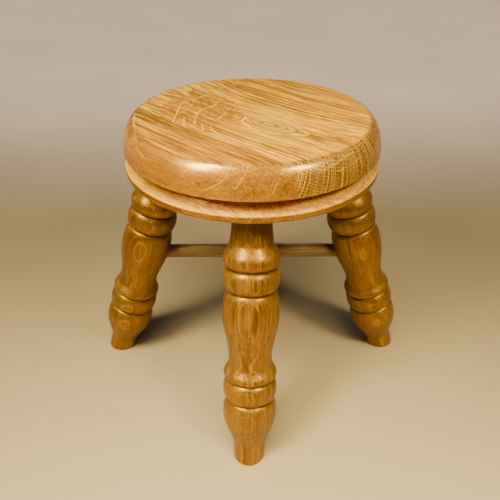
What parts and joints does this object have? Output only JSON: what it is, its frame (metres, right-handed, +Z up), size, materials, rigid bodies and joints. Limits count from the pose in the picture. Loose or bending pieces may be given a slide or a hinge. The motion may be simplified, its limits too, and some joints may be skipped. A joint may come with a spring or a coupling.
{
  "type": "footstool",
  "caption": "Round turned wooden footstool: moulded, slightly dished seat of glued boards on splayed bead-and-vase turned legs, cross-braced by plain round stretchers.",
  "frame": {"origin": "on the floor, at the centre of the bounding box's bottom, within 0.2 mm of the seat's vertical axis", "axes": "+Z up along the seat's axis; the front leg points along -Y, the right leg along +X, the back leg along +Y and the left leg along -X"},
  "size_m": [0.364, 0.3642, 0.301],
  "materials": {
    "seat_oak_brown": "satin varnish",
    "seat_oak_pale": "satin varnish",
    "seat_oak_golden": "satin varnish",
    "leg_oak": "gloss varnish",
    "strip_oak": "gloss varnish",
    "stretcher_wood": "worn satin varnish"
  },
  "bodies": {
    "root": {"seat_board_front": "seat_oak_brown", "seat_board_middle": "seat_oak_pale", "seat_board_back": "seat_oak_golden", "leg_front": "leg_oak", "leg_right": "leg_oak", "leg_right_strip": "strip_oak", "leg_back": "leg_oak", "leg_left": "leg_oak", "stretcher_left_right": "stretcher_wood", "stretcher_front_back": "stretcher_wood"}
  },
  "joints": []
}
